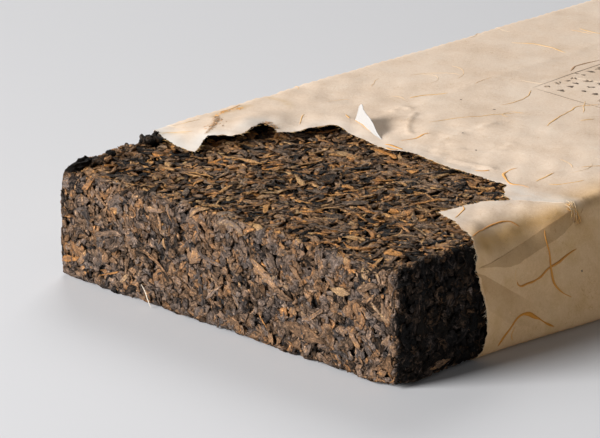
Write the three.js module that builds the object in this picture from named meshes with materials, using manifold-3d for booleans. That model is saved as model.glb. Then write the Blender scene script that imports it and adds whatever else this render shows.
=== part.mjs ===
// A brick of pressed pu-erh tea in a torn paper wrapper.
// Millimetres, +Z up. Y runs along the brick, from the bare end (-Y) to the folded end (+Y).

import * as THREE from 'three';
import { mergeVertices } from 'three/addons/utils/BufferGeometryUtils.js';
import Module from 'manifold-3d';

const wasm = await Module();
wasm.setup();

// ---- Driving dimensions ----

const brickLength = 290;
const brickWidth = 139.4;
const brickHeight = 36;
const brickEdge = new THREE.Vector3(3.5, 3.5, 4.5); // rounding of the pressed edges, along each axis

const paperThickness = 0.4;
const paperGap = 0.3; // between the tea and the paper
const paperUnderBrick = paperGap + paperThickness; // the wrapped stretch stands on the paper
const paperEdge = new THREE.Vector3(3.5, 3.5, 3.5);

// Distances "along" are measured from the bare end face, "across" from the centre line.
const paperFrom = 31; // from here on the paper lies under the brick
const sideBareUntil = 41; // the leaves show this far along the sides
const topBareUntil = 92; // and this far along the top
const leafDepth = 1.9; // how deep the gaps between the leaves are
const bumpCount = 560;
const bumpHalfLength = [5, 9];
const bumpHalfWidth = [1.9, 3];
const stripCount = 46;
const stripHalfLength = [5, 9];
const stripHalfWidth = [1.2, 2.0];
const stripHalfThickness = 0.9;

// The torn edge of the paper on the top of the brick, [across, along], from left to right.
const topTear = [
  [-69, 35], [-65.5, 41], [-58.5, 38.5], [-47.3, 37.3], [-49.8, 42], [-51.5, 47], [-43.3, 51],
  [-45.3, 65], [-42.3, 68], [-39.6, 66.5], [-37.3, 73.5], [-32.3, 82], [-25.3, 82.3], [-14.3, 79.7],
  [-3.3, 79.4], [17.7, 80], [44.2, 77.8], [47.7, 72], [51.7, 68.8], [45, 45.6], [54.5, 43.5],
  [61.7, 40], [69.7, 33],
];

// The torn edges on the two sides, [along, height], from the top down.
const rightTear = [[33, 34], [33, 29], [35, 22.5], [38, 14], [37.5, 4], [32.5, 0]];
const leftTear = [[35, 34], [39, 27], [36, 18], [32, 9], [33, 0]];

const topSlack = 1.3; // how far the paper stands off the top where it is loose
const curlLift = 2; // and how much more where it curls up beside the tear
const curlPlace = new THREE.Vector2(-44, 60); // [across, along]
const curlSpread = new THREE.Vector2(20, 22);
const footFlare = 8; // how far the foot of the right side stands out

const foldSlant = 27; // the end flaps narrow by this at each side
const foldSetBack = 6; // and stop this short of the opposite edge

const flapHeight = 7; // the scrap of paper that stands up behind the tear
const flapStart = [-31.2, 93.3]; // [across, along] of the two ends of its foot
const flapEnd = [-11.3, 84.4];

// Blocks start this far below the floor and are cut flat at it.
const belowFloor = 1.5;
const beyond = 90; // cutting tools reach this far past the brick
const overlap = 0.1; // pieces that join reach this far into each other
const sleeveFrom = 26; // the paper's block starts here, and all that is before the tear is cut off

const smooth = THREE.MathUtils.smoothstep;
const lerp = THREE.MathUtils.lerp;
const seededRandom = (() => {
  let state = 20611;
  return () => {
    state = (state * 48271) % 2147483647;
    return state / 2147483647;
  };
})();

function between([low, high]) {
  return lerp(low, high, seededRandom());
}

// ---- Meshes and solids ----

function toSolid(geometry) {
  geometry.deleteAttribute('normal');
  geometry.deleteAttribute('uv');
  const merged = mergeVertices(geometry);
  return new wasm.Manifold(new wasm.Mesh({
    numProp: 3,
    vertProperties: new Float32Array(merged.attributes.position.array),
    triVerts: new Uint32Array(merged.index.array),
  }));
}

// The solid without loose scraps, and with its sealed hollows filled.
function mainBody(solid) {
  return solid.decompose().reduce((best, body) => (body.volume() > best.volume() ? body : best));
}

function toMesh(name, solid, material) {
  const cut = mainBody(solid).getMesh();
  const geometry = new THREE.BufferGeometry();
  geometry.setAttribute('position', new THREE.BufferAttribute(cut.vertProperties, 3));
  geometry.setIndex(new THREE.BufferAttribute(cut.triVerts, 1));
  geometry.computeVertexNormals();
  const mesh = new THREE.Mesh(geometry, material);
  mesh.name = name;
  return mesh;
}

// Grid positions along one axis. Each band is [start, end, number of steps].
function spread(bands) {
  const stops = [bands[0][0]];
  for (const [start, end, steps] of bands) {
    for (let step = 1; step <= steps; step += 1) {
      stops.push(lerp(start, end, step / steps));
    }
  }
  return stops;
}

// A block with rounded edges on a grid of the given stops. Every vertex then goes through `shape`.
function roundedBlock(stops, edge, shape) {
  const geometry = new THREE.BoxGeometry(
    1, 1, 1, stops.x.length - 1, stops.y.length - 1, stops.z.length - 1,
  );
  const low = new THREE.Vector3(stops.x[0], stops.y[0], stops.z[0]).add(edge);
  const high = new THREE.Vector3(stops.x.at(-1), stops.y.at(-1), stops.z.at(-1)).sub(edge);
  const position = geometry.attributes.position;
  const point = new THREE.Vector3();
  for (let index = 0; index < position.count; index += 1) {
    point.fromBufferAttribute(position, index);
    for (const axis of ['x', 'y', 'z']) {
      const steps = stops[axis].length - 1;
      point[axis] = stops[axis][Math.round((point[axis] + 0.5) * steps)];
    }
    const inner = point.clone().clamp(low, high);
    const outward = point.clone().sub(inner).divide(edge).normalize();
    point.copy(outward).multiply(edge).add(inner);
    shape(point, outward);
    position.setXYZ(index, point.x, point.y, point.z);
  }
  return toSolid(geometry);
}

// Everything below a height, from a distance along the brick onwards.
function ground(height, from) {
  const length = brickLength + beyond - from;
  const geometry = new THREE.BoxGeometry(2 * beyond, length, beyond);
  geometry.translate(0, from + length / 2, height - beyond / 2);
  return toSolid(geometry);
}

// A flat outline with a thickness, placed with its own x, y and z along the given axes.
function plate(outline, thickness, origin, xAxis, yAxis) {
  const shape = new THREE.Shape(outline.map(([x, y]) => new THREE.Vector2(x, y)));
  const geometry = new THREE.ExtrudeGeometry(shape, { depth: thickness, bevelEnabled: false });
  const zAxis = new THREE.Vector3().crossVectors(xAxis, yAxis);
  geometry.applyMatrix4(new THREE.Matrix4().makeBasis(xAxis, yAxis, zAxis).setPosition(origin));
  return toSolid(geometry);
}

const X = new THREE.Vector3(1, 0, 0);
const Y = new THREE.Vector3(0, 1, 0);
const Z = new THREE.Vector3(0, 0, 1);

// ---- The tea ----

// A place on the bare faces: a point, the way out of the tea, and a direction along the face.
function barePlace(margin) {
  const bareSide = sideBareUntil - 6;
  const faces = [
    { area: brickWidth * brickHeight, out: Y.clone().negate() },
    { area: brickWidth * (topBareUntil - margin), out: Z.clone() },
    { area: brickHeight * bareSide, out: X.clone() },
    { area: brickHeight * bareSide, out: X.clone().negate() },
  ];
  let pick = seededRandom() * faces.reduce((sum, face) => sum + face.area, 0);
  const face = faces.find(({ area }) => {
    pick -= area;
    return pick <= 0;
  });
  const across = (seededRandom() - 0.5) * (brickWidth - 2 * margin);
  const height = lerp(margin, brickHeight - margin, seededRandom());
  const along = seededRandom();
  const turn = (seededRandom() + seededRandom() - 1) * Math.PI / 2;
  const point = new THREE.Vector3(across, 0, height);
  const grain = new THREE.Vector3(Math.cos(turn), 0, Math.sin(turn));
  if (face.out.z) {
    point.set(across, lerp(margin, topBareUntil - margin, along), brickHeight);
    grain.set(Math.cos(turn), Math.sin(turn), 0);
  }
  if (face.out.x) {
    point.set(face.out.x * brickWidth / 2, lerp(margin, bareSide, along), height);
    grain.set(0, Math.cos(turn), Math.sin(turn));
  }
  return { point, out: face.out, grain };
}

// Leaves pressed into the faces: each lifts the surface in a long low bump.
function makeBumps() {
  const bumps = [];
  for (let count = 0; count < bumpCount; count += 1) {
    const { point, grain } = barePlace(0);
    bumps.push({
      centre: point, grain, halfLength: between(bumpHalfLength), halfWidth: between(bumpHalfWidth),
    });
  }
  return bumps;
}

function leafCover(point, bumps) {
  let cover = 0;
  const offset = new THREE.Vector3();
  for (const { centre, grain, halfLength, halfWidth } of bumps) {
    offset.subVectors(point, centre);
    const forward = offset.dot(grain);
    const sideways = offset.lengthSq() - forward * forward;
    cover = Math.max(cover, 1 - (forward / halfLength) ** 2 - sideways / halfWidth ** 2);
  }
  return Math.sqrt(cover);
}

// The bare end of the brick, with the leaves in relief.
function bareBlock() {
  const bumps = makeBumps();
  const half = brickWidth / 2;
  const stops = {
    x: spread([[-half, half, 46]]),
    y: spread([[0, topBareUntil, 31]]),
    z: spread([[-belowFloor, brickHeight, 12]]),
  };
  return roundedBlock(stops, brickEdge, (point, outward) => {
    const side = 1 - smooth(point.y, sideBareUntil - 8, sideBareUntil - 2);
    const top = 1 - smooth(point.y, topBareUntil - 12, topBareUntil - 6);
    const bare = smooth(point.z, 0, 5) * Math.max(side, top * Math.max(outward.z, 0));
    const depth = bare * leafDepth * (1 - leafCover(point, bumps));
    point.addScaledVector(outward, -depth);
  });
}

// The rest of the brick, plain, because the paper covers it, and a hair smaller than the bare end.
function wrappedBlock() {
  const half = brickWidth / 2 - overlap;
  const stops = {
    x: spread([[-half, half, 8]]),
    y: spread([[topBareUntil - 2 * brickEdge.y, brickLength, 10]]),
    z: spread([[-belowFloor, brickHeight - overlap, 6]]),
  };
  return roundedBlock(stops, brickEdge, () => {});
}

// One rolled leaf, lying along the grain of its face and sunk to its back.
function leafStrip() {
  const { point, out, grain } = barePlace(stripHalfLength[1]);
  const geometry = new THREE.SphereGeometry(1, 6, 4);
  const halfWidth = between(stripHalfWidth);
  geometry.scale(between(stripHalfLength), halfWidth, stripHalfThickness);
  const across = new THREE.Vector3().crossVectors(out, grain);
  const centre = point.addScaledVector(out, -stripHalfThickness);
  geometry.applyMatrix4(new THREE.Matrix4().makeBasis(grain, across, out).setPosition(centre));
  return toSolid(geometry);
}

function teaBrick() {
  let brick = bareBlock().add(wrappedBlock());
  brick = brick.subtract(ground(0, -beyond)).subtract(ground(paperUnderBrick, paperFrom));
  for (let count = 0; count < stripCount; count += 1) {
    brick = brick.add(leafStrip());
  }
  return brick;
}

// ---- The paper ----

// How far the loose paper stands off the top of the brick.
function topLift(across, along) {
  const slack = Math.max(smooth(along, 78, 125), 1 - smooth(across, -40, -18));
  const fromCurl = new THREE.Vector2(across, along).sub(curlPlace).divide(curlSpread);
  return topSlack * slack + curlLift * Math.exp(-fromCurl.lengthSq());
}

// How far the foot of the right side stands out from the brick.
function sideFlare(along, height) {
  const opened = smooth(along, 28, 105);
  const closed = 1 - smooth(along, 170, 280);
  const towardsFoot = 1 - smooth(height, 2, brickHeight);
  return footFlare * opened * closed * towardsFoot;
}

// The outside of the paper, or of the space inside it, as a solid block.
function sleeveBlock(offset, from) {
  const half = brickWidth / 2 + offset;
  const bottom = paperUnderBrick - offset;
  const low = bottom - belowFloor;
  const high = brickHeight + offset;
  const far = brickLength + offset;
  const edge = paperEdge;
  const stops = {
    x: spread([[-half, -half + edge.x, 2], [-half + edge.x, half - edge.x, 18], [half - edge.x, half, 2]]),
    y: spread([
      [from, from + edge.y, 1], [from + edge.y, topBareUntil, 10],
      [topBareUntil, far - edge.y, 7], [far - edge.y, far, 1],
    ]),
    z: spread([[low, low + edge.z, 1], [low + edge.z, high - edge.z, 4], [high - edge.z, high, 2]]),
  };
  const block = roundedBlock(stops, paperEdge, (point) => {
    const upper = smooth(point.z, brickHeight * 0.6, brickHeight - 1);
    const right = smooth(point.x, brickWidth * 0.35, brickWidth * 0.48);
    point.x += right * sideFlare(point.y, point.z);
    point.z += upper * topLift(point.x, point.y);
  });
  return block.subtract(ground(bottom, -beyond));
}

// The folded end: a lower flap, and an upper flap over it.
function endFolds() {
  const wide = brickWidth / 2 - paperEdge.x;
  const narrow = wide - foldSlant;
  const low = paperEdge.z;
  const high = brickHeight - paperEdge.z;
  const lower = [[wide, low], [-wide, low], [-narrow, high - foldSetBack], [narrow, high - foldSetBack]];
  const upper = [[wide, high], [narrow, low + foldSetBack], [-narrow, low + foldSetBack], [-wide, high]];
  const face = new THREE.Vector3(0, brickLength + paperUnderBrick - overlap, 0);
  const flaps = [lower, upper].map((outline, layer) => (
    plate(outline, (layer + 1) * paperThickness + overlap, face, X.clone().negate(), Z)
  ));
  return flaps[0].add(flaps[1]);
}

// A torn scrap that stands up from the paper, tallest at its left end.
function standingFlap() {
  const height = brickHeight + paperUnderBrick;
  const start = new THREE.Vector3(...flapStart, height);
  const foot = new THREE.Vector3(...flapEnd, height).sub(start);
  const length = foot.length();
  const outline = [[0, 0], [length, 0], [length / 2, flapHeight / 2], [length / 10, flapHeight]];
  return plate(outline, paperThickness, start, foot.normalize(), Z);
}

// What is torn away from one side: everything before the tear.
function sideTool(tear, across) {
  const before = [[0, -beyond], [tear.at(-1)[0], -beyond]];
  const outline = [...before, ...tear.toReversed(), [tear[0][0], beyond], [0, beyond]];
  return plate(outline, beyond, new THREE.Vector3(across, 0, 0), Y, Z);
}

function topTool() {
  const before = [[-beyond, 0], [beyond, 0], [beyond, topTear.at(-1)[1]]];
  const outline = [...before, ...topTear.toReversed(), [-beyond, topTear[0][1]]];
  return plate(outline, beyond, new THREE.Vector3(0, 0, brickHeight - paperEdge.z), X, Y);
}

function underTool() {
  const right = rightTear.at(-1)[0];
  const left = leftTear.at(-1)[0];
  const outline = [[-beyond, 0], [beyond, 0], [beyond, right], [-beyond, left]];
  return plate(outline, beyond, new THREE.Vector3(0, 0, paperEdge.z - beyond), X, Y);
}

function paperWrapper() {
  const outside = sleeveBlock(paperUnderBrick, sleeveFrom);
  const inside = sleeveBlock(paperGap, sleeveFrom - paperEdge.y);
  const face = brickWidth / 2 - paperEdge.x;
  return outside.add(endFolds()).add(standingFlap()).subtract(inside)
    .subtract(topTool()).subtract(underTool())
    .subtract(sideTool(rightTear, face)).subtract(sideTool(leftTear, -face - beyond));
}

// ---- The object ----

const teaMaterial = new THREE.MeshStandardMaterial({ color: 0x4a3d35, roughness: 0.8, metalness: 0 });
const paperMaterial = new THREE.MeshStandardMaterial({ color: 0xd6c9b8, roughness: 0.9, metalness: 0 });

const group = new THREE.Group();
group.add(toMesh('tea_brick', teaBrick(), teaMaterial));
group.add(toMesh('paper_wrapper', paperWrapper(), paperMaterial));

// The origin is under the middle of the whole, on the surface that it lies on.
const box = new THREE.Box3().setFromObject(group);
const middle = box.getCenter(new THREE.Vector3());
group.position.set(-middle.x, -middle.y, -box.min.z);

export default group;
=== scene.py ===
"""A brick of pressed pu-erh tea, half out of its torn paper wrapper."""
import math

import bpy
import numpy as np
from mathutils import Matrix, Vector, geometry


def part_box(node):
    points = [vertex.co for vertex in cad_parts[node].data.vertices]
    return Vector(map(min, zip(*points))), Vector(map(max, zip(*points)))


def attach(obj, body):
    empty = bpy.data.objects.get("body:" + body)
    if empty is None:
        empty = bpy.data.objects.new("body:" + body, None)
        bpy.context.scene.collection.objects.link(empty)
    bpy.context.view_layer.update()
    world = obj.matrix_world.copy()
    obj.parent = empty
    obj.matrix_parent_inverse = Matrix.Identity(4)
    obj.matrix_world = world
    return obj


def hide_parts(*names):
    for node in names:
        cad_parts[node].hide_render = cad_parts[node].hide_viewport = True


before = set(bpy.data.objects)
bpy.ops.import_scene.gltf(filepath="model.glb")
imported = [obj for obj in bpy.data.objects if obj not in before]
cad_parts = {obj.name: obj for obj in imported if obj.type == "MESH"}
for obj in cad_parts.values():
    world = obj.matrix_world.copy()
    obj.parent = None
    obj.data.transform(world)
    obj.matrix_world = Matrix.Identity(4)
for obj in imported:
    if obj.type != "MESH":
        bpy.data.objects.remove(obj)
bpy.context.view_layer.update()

# ---- Frame and driving sizes, in millimetres: across, along from the bare end, up ----

MM = 0.001
brick_low, brick_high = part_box("tea_brick")
ORIGIN = np.array([(brick_low.x + brick_high.x) / 2, brick_low.y, 0.0]) / MM
HALF_WIDTH = (brick_high.x - brick_low.x) / 2 / MM
HEIGHT = 36.0
LENGTH = 290.0
PRESS_EDGE = np.array([2.4, 2.4, 4.2])  # rounding of the upright and top edges, along each axis
PRESS_FOOT = 1.6  # rounding at the floor
QUARTER = math.pi / 2
WAVE_COUNT = 9

random = np.random.default_rng(4417)  # draws the leaves; the paper's parts have generators of their own


def to_row(points):
    """Brick millimetres to metres in the row's frame."""
    return (np.asarray(points, float) + ORIGIN) * MM


def smooth(value, low, high):
    """A soft step from 0 at low to 1 at high."""
    t = np.clip((np.asarray(value, float) - low) / (high - low), 0, 1)
    return t * t * (3 - 2 * t)


def unit(vectors):
    return vectors / np.maximum(np.linalg.norm(vectors, axis=-1, keepdims=True), 1e-9)


def ring_angles(count):
    return 2 * math.pi * (np.arange(count) + 0.5) / count


def waves(points, wavelength, seed):
    """Smooth seeded noise from about -1 to 1, as a sum of plane waves in many directions."""
    draw = np.random.default_rng(seed)
    directions = unit(draw.normal(size=(WAVE_COUNT, points.shape[-1])))
    paces = 2 * math.pi / (wavelength * draw.uniform(0.6, 1.6, WAVE_COUNT))
    phases = draw.uniform(0, 2 * math.pi, WAVE_COUNT)
    total = np.zeros(points.shape[:-1])
    for direction, pace, phase in zip(directions, paces, phases):
        total += np.sin(points @ direction * pace + phase)
    return total / math.sqrt(WAVE_COUNT)


# ---- Materials ----


def srgb(*channels):
    """A colour given as 0 to 255 in sRGB, as linear light."""
    return tuple(((c / 255 + 0.055) / 1.055) ** 2.4 if c > 10 else c / 3294.6 for c in channels)


class Look:
    """A material and short calls for its nodes. They take sockets or plain values, and give a socket."""

    def __init__(self, name, roughness, specular=0.5):
        self.material = bpy.data.materials.new(name)
        self.material.use_nodes = True
        self.tree = self.material.node_tree
        self.shader = next(n for n in self.tree.nodes if n.type == "BSDF_PRINCIPLED")
        self.shader.inputs["Roughness"].default_value = roughness
        self.shader.inputs["Specular IOR Level"].default_value = specular

    def node(self, kind, output, inputs=None, **settings):
        made = self.tree.nodes.new("ShaderNode" + kind)
        for key, value in settings.items():
            setattr(made, key, value)
        for key, value in (inputs or {}).items():
            if isinstance(value, bpy.types.NodeSocket):
                self.tree.links.new(value, made.inputs[key])
            else:
                made.inputs[key].default_value = value
        return made.outputs[output]

    def attribute(self, name, output="Fac"):
        return self.node("Attribute", output, attribute_name=name)

    def noise(self, place, scale, detail, roughness=0.5, distortion=0.0, stretch=None):
        if stretch:
            place = self.node("VectorMath", 0, {0: place, 1: stretch}, operation="MULTIPLY")
        return self.node("TexNoise", "Fac", {"Vector": place, "Scale": scale, "Detail": detail,
                                             "Roughness": roughness, "Distortion": distortion})

    def math(self, operation, first, second=0.0, clamp=False):
        return self.node("Math", 0, {0: first, 1: second}, operation=operation, use_clamp=clamp)

    def spread(self, value, low, high, new_low=0.0, new_high=1.0):
        return self.node("MapRange", 0, {"Value": value, 1: low, 2: high, 3: new_low, 4: new_high})

    def lines(self, noise, width, strength):
        """Thin bands where a noise passes its middle."""
        size = self.math("ABSOLUTE", self.math("SUBTRACT", noise, 0.5))
        return self.spread(size, 0.0, width, strength, 0.0)

    def mix(self, colour, share, tint, blend="MULTIPLY"):
        tint = tint if isinstance(tint, bpy.types.NodeSocket) else (*tint, 1)
        return self.node("Mix", "Result", {"Factor": share, "A": colour, "B": tint}, data_type="RGBA",
                         blend_type=blend)

    def ramp(self, value, *stops):
        """Colours along a value. Each stop is its position and its colour as linear light."""
        colour = self.node("ValToRGB", "Color", {"Fac": value})
        elements = colour.node.color_ramp.elements
        while len(elements) < len(stops):
            elements.new(0.5)
        for element, (position, shade) in zip(elements, stops):
            element.position = position
            element.color = (*shade, 1)
        return colour

    def paint(self, colour):
        self.tree.links.new(colour, self.shader.inputs["Base Color"])

    def bump(self, height, distance, strength):
        normal = self.node("Bump", "Normal", {"Height": height, "Distance": distance, "Strength": strength})
        self.tree.links.new(normal, self.shader.inputs["Normal"])


LEAF_STEP = 7.31  # leaf spaces lie this far apart


def leaf_material():
    look = Look("pressed_leaves", 0.6, 0.14)
    space = look.attribute("leaf_space", "Vector")
    streak = look.noise(space, 0.95, 5.0, 0.68, stretch=(0.4, 1.6, 1.0))
    mottle = look.noise(space, 0.42, 3.0, 0.6)
    tone = look.math("ADD", look.attribute("tone"), look.spread(streak, 0.32, 0.68, -0.3, 0.3))
    tone = look.math("ADD", tone, look.spread(mottle, 0.32, 0.68, -0.16, 0.16), clamp=True)
    colour = look.ramp(tone, (0.0, srgb(30, 26, 23)), (0.28, srgb(108, 90, 76)), (0.5, srgb(160, 133, 111)),
                       (0.7, srgb(190, 152, 120)), (0.86, srgb(214, 163, 114)), (1.0, srgb(236, 184, 126)))
    # Some leaves are redder, others greyer.
    number = look.math("DIVIDE", look.node("SeparateXYZ", "Z", {"Vector": space}), LEAF_STEP)
    chance = look.node("TexWhiteNoise", "Value", {"W": look.math("ROUND", number)}, noise_dimensions="1D")
    tint = look.ramp(chance, (0.0, (1.14, 0.94, 0.7)), (0.35, (1.04, 0.99, 0.92)), (0.65, (0.95, 1.0, 1.12)),
                     (1.0, (0.8, 0.95, 1.2)))
    colour = look.mix(colour, 1.0, tint)
    # Painted light: the top's leaves are tinted lighter and warmer.
    colour = look.mix(colour, look.attribute("on_top"), (1.12, 1.05, 0.9))
    # Curling wrinkles are grooves in the bump, darkened by painted shade.
    wrinkles = look.lines(look.noise(space, 1.3, 2.0, 0.6, 1.1, (0.7, 1.25, 1.0)), 0.14, 0.78)
    look.paint(look.mix(colour, wrinkles, (0.2, 0.18, 0.17)))
    look.bump(look.math("ADD", streak, look.math("MULTIPLY", wrinkles, -0.35)), 0.0009, 0.9)
    return look.material


def core_material():
    look = Look("leaf_shadow", 0.85)
    grain = look.noise(look.node("TexCoord", "Object"), 420.0, 4.0)
    look.paint(look.ramp(grain, (0.3, srgb(14, 11, 10)), (0.7, srgb(38, 30, 25))))
    look.bump(grain, 0.001, 0.8)
    return look.material


PULP_THREADS = [  # noise scale, width, colour and strength of the fine threads in the pulp
    (0.16, 0.012, srgb(196, 160, 112), 0.5), (0.3, 0.02, srgb(236, 226, 210), 0.45),
]
SIDE_PAINTED_SHADE_TINT = (0.97, 0.83, 0.6)
STAIN_TINT = (0.84, 0.78, 0.64)
SHADE_TINT = (0.66, 0.61, 0.54)
OCHRE_TINT = (0.86, 0.74, 0.46)


def paper_material(name="wrapper_paper", torn_and_shaded_colour=(0.72, 0.68, 0.63)):
    look = Look(name, 0.9, 0.15)
    place = look.attribute("sheet_place", "Vector")
    pulp = look.noise(place, 0.9, 4.0, 0.7, 1.2)
    cloud = look.math("ADD", look.noise(place, 0.045, 3.0), pulp)
    colour = look.ramp(look.spread(cloud, 0.6, 1.4), (0.0, srgb(214, 187, 160)), (0.5, srgb(229, 206, 183)),
                       (1.0, srgb(238, 219, 199)))
    for scale, width, tint, strength in PULP_THREADS:
        line = look.lines(look.noise(place, scale, 1.0, 0.5, 2.5), width, strength)
        gate = look.spread(look.noise(place, scale * 0.6, 0.0), 0.5, 0.62)
        colour = look.mix(colour, look.math("MULTIPLY", line, gate), tint, "MIX")
    # Painted warm shade over the wrapper's sides, with stain spots there.
    side_shade_and_stains = look.attribute("side_shade_and_stains")
    colour = look.mix(colour, side_shade_and_stains, SIDE_PAINTED_SHADE_TINT)
    spots = look.spread(look.noise(place, 0.07, 3.0, 0.6), 0.48, 0.7, 0.0, 0.8)
    colour = look.mix(colour, look.math("MULTIPLY", spots, side_shade_and_stains), STAIN_TINT)
    colour = look.mix(colour, look.attribute("torn"), torn_and_shaded_colour, "MIX")
    colour = look.mix(colour, look.attribute("shade"), SHADE_TINT)
    # Ochre marks: stains, and painted shade over the right side's bend.
    yellow = look.math("MULTIPLY", look.spread(pulp, 0.35, 0.6, 0.45, 1.0), look.attribute("ochre_stain_and_shade"))
    look.paint(look.mix(colour, yellow, OCHRE_TINT))
    look.bump(pulp, 0.00025, 0.5)
    return look.material


def toned_material(name, roughness, specular, *stops):
    look = Look(name, roughness, specular)
    look.paint(look.ramp(look.attribute("tone"), *stops))
    return look.material


# ---- Meshes ----

RIM_ANGLE = math.radians(50)


def add_object(name, data):
    made = bpy.data.objects.new(name, data)
    bpy.context.scene.collection.objects.link(made)
    return made


def add_mesh(name, points, faces, material, attributes=None, sharp_rim=False):
    """A mesh object from points in brick millimetres and a list of arrays of equal-sided faces.

    attributes maps names to one value per point.
    """
    sizes = np.concatenate([np.full(len(block), block.shape[1]) for block in faces])
    corners = np.concatenate([block.ravel() for block in faces])
    points = np.array(points, float)
    points[:, 2] = np.maximum(points[:, 2], 0.0)
    mesh = bpy.data.meshes.new(name)
    mesh.vertices.add(len(points))
    mesh.vertices.foreach_set("co", to_row(points).astype(np.float32).ravel())
    mesh.loops.add(len(corners))
    mesh.loops.foreach_set("vertex_index", corners.astype(np.int32))
    mesh.polygons.add(len(sizes))
    mesh.polygons.foreach_set("loop_start", (np.cumsum(sizes) - sizes).astype(np.int32))
    mesh.polygons.foreach_set("use_smooth", np.ones(len(sizes), bool))
    mesh.update(calc_edges=True)
    if sharp_rim:
        mesh.set_sharp_from_angle(angle=RIM_ANGLE)
    for key, values in (attributes or {}).items():
        values = np.asarray(values, np.float32)
        kind, field = ("FLOAT", "value") if values.ndim == 1 else ("FLOAT_VECTOR", "vector")
        mesh.attributes.new(key, kind, "POINT").data.foreach_set(field, values.ravel())
    mesh.materials.append(material)
    made = add_object(name, mesh)
    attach(made, "root")
    return made


def grid_quads(number):
    """The quads of a grid, from its points' numbers."""
    return np.stack([number[:-1, :-1], number[1:, :-1], number[1:, 1:], number[:-1, 1:]], -1).reshape(-1, 4)


def box_grid(*steps):
    """The surface of a box on the given grid lines: shared points and outward quads."""
    sizes = np.array([len(lines) for lines in steps])
    index = np.indices(sizes).reshape(3, -1).T
    skin = index[((index == 0) | (index == sizes - 1)).any(axis=1)]
    numbers = np.zeros(sizes, int)
    numbers[tuple(skin.T)] = np.arange(len(skin))
    points = np.stack([lines[skin[:, axis]] for axis, lines in enumerate(steps)], -1)
    faces = []
    for axis in range(3):
        plane = np.moveaxis(numbers, (axis, (axis + 1) % 3, (axis + 2) % 3), (0, 1, 2))
        faces += [grid_quads(plane[0])[:, ::-1], grid_quads(plane[-1])]
    return points, faces


# ---- The pressed surface ----

PITS = [  # crumbled places: across, along, up, radius, depth
    (58.5, 0, 33, 5.5, 2.4), (-65.5, 0.5, 35.5, 5, 2.6), (69, 0, 0.5, 6, 2.2), (-57, 1, 35, 3.5, 1.6),
    (47, 0, 34.5, 3.5, 1.6),
]


def outside(points):
    """Distance outside the pressed block, and the way out."""
    points = np.asarray(points, float)
    edge = np.empty(points.shape)
    edge[...] = PRESS_EDGE
    edge[..., 2] = np.where(points[..., 2] < HEIGHT / 2, PRESS_FOOT, PRESS_EDGE[2])
    low, high = np.array([-HALF_WIDTH, 0.0, 0.0]), np.array([HALF_WIDTH, LENGTH, HEIGHT])
    away = points - np.clip(points, low + edge, high - edge)
    reach = np.linalg.norm(away / edge, axis=-1)
    gap = np.linalg.norm(away, axis=-1)
    is_inside = gap < 1e-6
    rounded = gap * (1 - 1 / np.maximum(reach, 1e-6))
    # Deep inside, the nearest face is the way out.
    to_faces = np.concatenate([points - low, high - points], axis=-1)
    nearest = to_faces.argmin(axis=-1)
    flat = np.eye(3)[nearest % 3] * np.where(nearest < 3, -1.0, 1.0)[..., None]
    out = np.where(is_inside[..., None], flat, unit(away / edge ** 2))
    return np.where(is_inside, -to_faces.min(axis=-1), rounded), out


def wear(points, out):
    """How far the pressed surface lies below the block's own face."""
    total = np.clip(0.25 + 0.25 * waves(points, 34.0, 11), 0.05, None)
    total += 0.25 * np.maximum(waves(points, 11.0, 12), 0)
    total += np.clip(0.35 * out[..., 2] * np.maximum(waves(points, 8.0, 13), 0), 0, None)
    total += 0.25 * (1 - np.abs(out).max(axis=-1)) / 0.42  # full at the corners
    for *centre, radius, depth in PITS:
        away = np.linalg.norm(points - np.array(centre), axis=-1) / radius
        total += depth * np.exp(-away ** 2)
    # The right top edge is worn away under the paper's soft bend.
    along = points[..., 1]
    reach = 13.0 * smooth(along, 30, 46) * (1 - smooth(along, 60, 82)) + 1.5
    inward = np.maximum(HALF_WIDTH - points[..., 0], 0) + np.maximum(HEIGHT - points[..., 2], 0)
    return total + 0.42 * np.maximum(reach - inward, 0) * smooth(along, 14, 32)


def press(points, softness):
    """Pushes what stands out of the block back to its surface.

    Gives the points, the way out at each, and each point's height over the surface before and after.
    """
    distance, out = outside(points)
    height = distance + wear(points, out)
    pressed = -softness * np.logaddexp(0, -height / softness)
    return points + out * (pressed - height)[..., None], out, height, pressed


def build_core():
    """What the leaves are pressed on: the block itself, a little inside them."""
    along = np.concatenate([np.linspace(0, 96, 33), np.linspace(110, LENGTH, 8)])
    points, faces = box_grid(np.linspace(-HALF_WIDTH, HALF_WIDTH, 46), along, np.linspace(0, HEIGHT, 13))
    distance, out = outside(points)
    bare = 1 - smooth(points[:, 1], TOP_BARE, 108)
    depth = bare * (1.25 + wear(points, out) + 0.4 * waves(points, 5.0, 21))
    points = points - out * (distance + depth)[:, None]
    points[:, 2] = np.maximum(points[:, 2], np.where(points[:, 1] > PAPER_START, PAPER_OUT, 0.0))
    made = add_mesh("tea_core", points, faces, core_material())
    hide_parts("tea_brick")


# ---- Leaves ----

TOP_BARE = 92.0  # leaves are laid this far along the top
SIDE_BARE = 44.0  # and this far along the sides
FACES = {  # the axes along a bare face, its start and extents on them, the axis across it, its place
    "front": ((0, 2), (-HALF_WIDTH, 0), (2 * HALF_WIDTH, HEIGHT), 1, 0.0),
    "top": ((0, 1), (-HALF_WIDTH, 0), (2 * HALF_WIDTH, TOP_BARE), 2, HEIGHT),
    "right": ((1, 2), (0, 0), (SIDE_BARE, HEIGHT), 0, HALF_WIDTH),
    "left": ((1, 2), (0, 0), (SIDE_BARE, HEIGHT), 0, -HALF_WIDTH),
}
HIDDEN = 5.0  # this far behind the tear nothing shows under the paper


def on_face(face, spot):
    """Points in brick millimetres, from spots on a bare face."""
    axes, _, _, across, value = FACES[face]
    point = np.full((*spot.shape[:-1], 3), float(value))
    point[..., list(axes)] = spot
    return point


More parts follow.
